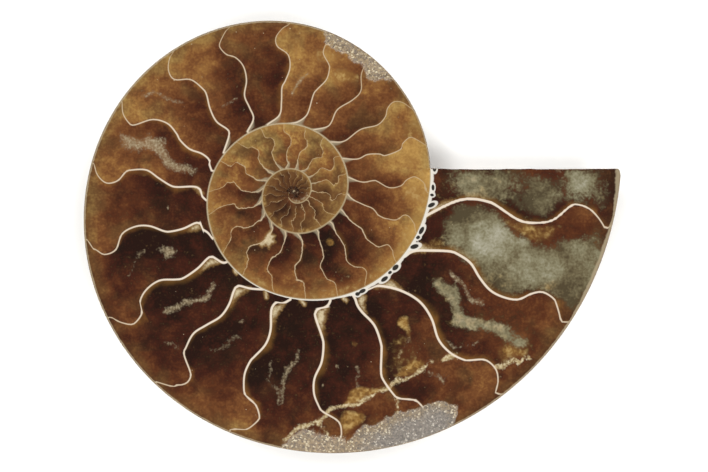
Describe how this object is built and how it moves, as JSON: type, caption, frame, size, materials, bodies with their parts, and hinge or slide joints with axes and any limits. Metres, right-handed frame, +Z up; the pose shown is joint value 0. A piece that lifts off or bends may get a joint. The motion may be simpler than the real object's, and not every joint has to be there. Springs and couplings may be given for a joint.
{
  "type": "ammonite fossil half",
  "caption": "Sawn, polished half of a coiled ammonite: a flat face showing the spiral of calcite-filled chambers, and a rounded, faintly ribbed natural back to lie on.",
  "frame": {"origin": "on the surface it lies on, below the middle of the piece's box", "axes": "+Z up, out of the polished face; +X along the longest extent, towards the mouth of the last whorl; +Y towards the top of the coil as pictured"},
  "size_m": [0.0904, 0.0726, 0.01],
  "materials": {
    "fossil_stone": "polished calcite on the cut face, worn shell on the back"
  },
  "bodies": {
    "root": {"ammonite_half": "fossil_stone"}
  },
  "joints": []
}
